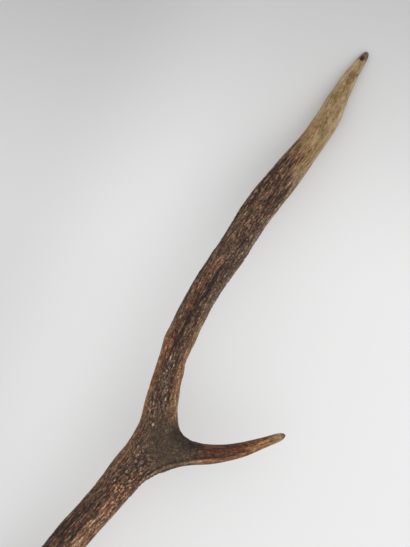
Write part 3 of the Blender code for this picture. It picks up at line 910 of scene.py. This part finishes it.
inputs = [("Grain", WAY), ("Width", NUMBER), ("Length", NUMBER), ("Sharpness", NUMBER)]
streaks, given, result = new_group("streaks", inputs, [("Streak", NUMBER)])
size = add(streaks, "ShaderNodeCombineXYZ", {0: given["Width"], 1: given["Length"], 2: given["Width"]})
stretched = add(streaks, "ShaderNodeVectorMath", {0: given["Grain"], 1: size.outputs[0]}, operation="DIVIDE")
pattern = add(streaks, "ShaderNodeTexNoise", {"Vector": stretched.outputs[0], "Scale": 1.0, "Detail": 3.0})
centred = add(streaks, "ShaderNodeMath", {0: pattern.outputs[0], 1: 0.5}, operation="SUBTRACT")
about_half = {0: centred.outputs[0], 1: given["Sharpness"], 2: 0.5}
sharper = add(streaks, "ShaderNodeMath", about_half, operation="MULTIPLY_ADD", use_clamp=True)
streaks.links.new(sharper.outputs[0], result["Streak"])
print("group:", streaks.name)

# %% Pores
pores, given, result = new_group("pores", [("Place", WAY), ("Size", NUMBER)], [("Pore", NUMBER)])
fineness = add(pores, "ShaderNodeMath", {0: 1.0, 1: given["Size"]}, operation="DIVIDE")
scaled = add(pores, "ShaderNodeVectorMath", {0: given["Place"]}, operation="SCALE")
pores.links.new(fineness.outputs[0], scaled.inputs["Scale"])
cells = add(pores, "ShaderNodeTexVoronoi", {"Vector": scaled.outputs[0], "Scale": 1.0})
pores.links.new(smooth_range(pores, cells.outputs["Distance"], 0.5, 0.25), result["Pore"])
print("group:", pores.name)

# %% What the bone material reads
bone = bpy.data.materials.new("stained_bone")
bone.use_nodes = True
tree = bone.node_tree
shader = tree.nodes["Principled BSDF"]
shader.inputs["Specular IOR Level"].default_value = 0.3
read = {name: add(tree, "ShaderNodeAttribute", attribute_name=name).outputs["Fac"] for name in masks}
grain_way = add(tree, "ShaderNodeAttribute", attribute_name="grain").outputs["Vector"]
place = add(tree, "ShaderNodeTexCoord").outputs["Object"]


def streak(width, length, way=grain_way, sharpness=3.0):
    """Streaks of this width and length in mm, from 0 to 1."""
    return use_group(
        tree, streaks, Grain=way, Width=width * MM, Length=length * MM, Sharpness=sharpness
    )


narrow, hair, dust = streak(1.3, 5.0, sharpness=4.0), streak(0.9, 3.2), streak(1.2, 1.2, place)
lines, tint = streak(1.0, 15.0, sharpness=4.0), streak(2.4, 6.0, sharpness=4.0)
patchy = streak(9.0, 30.0, sharpness=2.6)
print("masks read:", len(read))

# %% A colour for each finish
bark_value = sum_of(
    tree, (read["tone"], 1.0), (narrow, 0.26), (lines, 0.18), (hair, 0.18), (dust, 0.32), (1.0, -0.47)
)
bark_colour = ramp(
    tree, bark_value, (0.0, (26, 18, 13)), (0.22, (52, 38, 29)), (0.42, (83, 63, 49)), (0.60, (114, 92, 71)),
    (0.80, (152, 129, 102)), (1.0, (206, 190, 162)),
)

web_value = sum_of(tree, (read["tone"], 1.0), (dust, 0.30), (hair, 0.14), (narrow, 0.14), (1.0, -0.29))
web_colour = ramp(
    tree, web_value, (0.0, (27, 20, 14)), (0.3, (54, 42, 32)), (0.5, (76, 60, 46)), (1.0, (132, 108, 78))
)

tine_value = sum_of(
    tree, (read["tone"], 1.0), (narrow, 0.22), (lines, 0.16), (hair, 0.18), (dust, 0.16), (1.0, -0.36)
)
tine_colour = ramp(
    tree, tine_value, (0.0, (28, 17, 12)), (0.3, (68, 41, 27)), (0.5, (102, 67, 43)), (0.7, (134, 98, 62)),
    (0.85, (160, 130, 96)), (1.0, (194, 172, 140)),
)

polish_value = sum_of(
    tree, (read["tone"], 1.0), (narrow, 0.16), (lines, 0.12), (hair, 0.14), (dust, 0.22), (patchy, 0.18),
    (1.0, -0.41),
)
polish_colour = ramp(
    tree, polish_value, (0.0, (84, 58, 36)), (0.25, (125, 98, 63)), (0.5, (153, 129, 91)),
    (0.75, (174, 156, 121)), (1.0, (206, 188, 156)),
)
print("four finishes; nodes so far:", len(tree.nodes))

# %% Mix the colours
HUES = {"rust": (1.24, 0.80, 0.66), "orange": (1.16, 0.98, 0.74), "grey": (0.93, 1.0, 1.10)}
colour = mix_colours(tree, read["web"], bark_colour, web_colour)
colour = mix_colours(tree, read["tine_smooth"], colour, tine_colour)
warm = mix_colours(tree, 1.0, colour, (1.07, 0.96, 0.94, 1.0), "MULTIPLY")
cool = mix_colours(tree, 1.0, colour, (0.93, 1.02, 0.98, 1.0), "MULTIPLY")
colour = mix_colours(tree, tint, warm, cool)
edge = sum_of(tree, (read["polished"], 1.5), (lines, 0.5), (narrow, 0.2))
polish_edge = add(tree, "ShaderNodeMath", {0: edge, 1: 0.6}, operation="SUBTRACT", use_clamp=True).outputs[0]
colour = mix_colours(tree, polish_edge, colour, polish_colour)
for mask, change in HUES.items():
    changed = mix_colours(tree, 1.0, colour, (*change, 1.0), "MULTIPLY")
    colour = mix_colours(tree, read[mask], colour, changed)
end_colour = mix_colours(tree, dust, screen(78, 61, 46), screen(126, 106, 84))
colour = mix_colours(tree, read["worn_end"], colour, end_colour)
# Partly painted shade: the hole and the nick are made near black.
colour = mix_colours(tree, read["hole"], colour, screen(44, 25, 8))
tree.links.new(colour, shader.inputs["Base Color"])
print("hues:", ", ".join(HUES))

# %% Roughness and fine relief
roughness = sum_of(tree, (polish_edge, -0.16), (read["tine_smooth"], -0.08), (dust, 0.12), (1.0, 0.58))
tree.links.new(roughness, shader.inputs["Roughness"])
grain_height = sum_of(tree, (hair, 0.5), (dust, 0.5), (narrow, 0.4))
bump = add(tree, "ShaderNodeBump", {"Height": grain_height, "Distance": 0.25 * MM, "Strength": 0.8})
tree.links.new(bump.outputs[0], shader.inputs["Normal"])
print("material:", bone.name, len(tree.nodes), "nodes")

# %% Sawn bone
sawn_bone = bpy.data.materials.new("sawn_bone")
sawn_bone.use_nodes = True
tree = sawn_bone.node_tree
shader = tree.nodes["Principled BSDF"]
shader.inputs["Specular IOR Level"].default_value = 0.3
place = add(tree, "ShaderNodeTexCoord").outputs["Object"]
in_core = add(tree, "ShaderNodeAttribute", attribute_name="core").outputs["Fac"]
grit, cloud = streak(1.4, 1.4, place), streak(7, 7, place, 2.5)
coarse_pore = use_group(tree, pores, Place=place, Size=1.5 * MM)
fine_pore = use_group(tree, pores, Place=place, Size=0.8 * MM)
wall_value = sum_of(tree, (grit, 0.35), (cloud, 0.5), (1.0, 0.1))
wall_colour = ramp(tree, wall_value, (0.0, (128, 98, 68)), (0.5, (184, 156, 118)), (1.0, (214, 194, 160)))
core_value = sum_of(tree, (grit, 0.4), (cloud, 0.3), (coarse_pore, -0.45), (fine_pore, -0.2), (1.0, 0.4))
core_colour = ramp(tree, core_value, (0.0, (38, 26, 18)), (0.5, (112, 82, 56)), (1.0, (172, 142, 106)))
tree.links.new(mix_colours(tree, in_core, wall_colour, core_colour), shader.inputs["Base Color"])
tree.links.new(sum_of(tree, (in_core, 0.2), (grit, 0.1), (1.0, 0.55)), shader.inputs["Roughness"])
pits = sum_of(tree, (grit, 0.3), (coarse_pore, -0.8))
bump = add(tree, "ShaderNodeBump", {"Height": pits, "Distance": 0.3 * MM})
tree.links.new(bump.outputs[0], shader.inputs["Normal"])
print("material:", sawn_bone.name, len(tree.nodes), "nodes")

# %% Dress the pieces
for name, piece in pieces.items():
    piece.data.materials.clear()
    piece.data.materials.append(bone)
    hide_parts("lower_beam" if name == BASE else name)
    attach(piece, "root")
base.data.materials.append(sawn_bone)
for index in sawn_faces:
    base.data.polygons[index].material_index = 1
print("dressed:", sorted(piece.name for piece in pieces.values()))

# %% [markdown]
# ## Floor, light and camera
#
# The antler lies on a plain pale floor, seen straight from above and turned as in the photograph. An even
# white room and one big soft light at the lower right keep the shadows faint. Near the antler the floor is
# painted greyer towards the far end and the left, a painted fall-off of light and painted shade, and it is
# plain and pale again further out.

# %% Floor
VIEW_SPOT = (-0.0736, 0.1054)  # the middle of the picture, on the floor
PALE = 0.885  # the share of the light that the floor gives back
bpy.ops.object.select_all(action="DESELECT")
bpy.ops.mesh.primitive_circle_add(vertices=96, radius=6.0, fill_type="NGON", location=(0, 0, 0))
floor = bpy.context.object
floor.name = "floor"
paper = bpy.data.materials.new("pale_paper")
paper.use_nodes = True
tree = paper.node_tree
paper_shader = tree.nodes["Principled BSDF"]
paper_shader.inputs["Roughness"].default_value = 0.9
paper_shader.inputs["Specular IOR Level"].default_value = 0.1
place = add(tree, "ShaderNodeTexCoord").outputs["Object"]
turned = add(tree, "ShaderNodeMapping", {"Vector": place}, vector_type="TEXTURE")
turned.inputs["Location"].default_value = (*VIEW_SPOT, 0)
turned.inputs["Rotation"].default_value = (0, 0, TURN)
split = add(tree, "ShaderNodeSeparateXYZ", {0: turned.outputs[0]})
# Painted fall-off of light and painted shade: the floor is made darker towards the far end of the picture and
# towards its left, and pale again further out.
tilted = sum_of(tree, (split.outputs[1], 1.0), (split.outputs[0], 0.2))
painted_falloff_far = smooth_range(tree, tilted, 0.0, 0.38, PALE, 0.56)
slant = sum_of(tree, (split.outputs[0], 0.91), (split.outputs[1], -0.41))
painted_shade_left_side = smooth_range(tree, slant, -0.055, -0.20, 1.0, 0.84)
painted_falloff = add(tree, "ShaderNodeMath", {0: painted_falloff_far, 1: painted_shade_left_side}, operation="MULTIPLY").outputs[0]
from_middle = add(tree, "ShaderNodeVectorMath", {0: turned.outputs[0]}, operation="LENGTH").outputs["Value"]
further_out = smooth_range(tree, from_middle, 0.36, 1.7)
paper_grey = add(tree, "ShaderNodeMix", {0: further_out, 2: painted_falloff, 3: PALE})
tree.links.new(paper_grey.outputs[0], paper_shader.inputs["Base Color"])
floor.data.materials.append(paper)
print("floor:", floor.name)

# %% Camera
EYE_HEIGHT = 2.024  # m above the floor
bpy.ops.object.camera_add(location=(*VIEW_SPOT, EYE_HEIGHT), rotation=(0, 0, TURN))
camera = bpy.context.object
camera.data.lens = 135
camera.data.sensor_width = 36
bpy.context.scene.camera = camera
print("camera: %d mm lens, %.2f m up" % (camera.data.lens, EYE_HEIGHT))

# %% Lights
world = bpy.data.worlds.new("soft_room")
world.use_nodes = True
world.node_tree.nodes["Background"].inputs["Color"].default_value = (1.0, 1.0, 1.0, 1.0)
world.node_tree.nodes["Background"].inputs["Strength"].default_value = 0.78
bpy.context.scene.world = world
middle = Vector((*VIEW_SPOT, 0.05))


def softbox(name, right, up, height, size, power):
    """A square area light that looks at the middle of the picture."""
    spot = middle + Vector((*(RIGHT * right + UPWARDS * up), height))
    bpy.ops.object.light_add(type="AREA", location=spot)
    light = bpy.context.object
    light.name = name
    light.data.size = size
    light.data.energy = power
    light.rotation_euler = (middle - spot).to_track_quat("-Z", "Y").to_euler()
    return light


softbox("key_light", 0.5, -0.5, 1.9, 2.6, 12)
bpy.context.scene.view_settings.view_transform = "Standard"
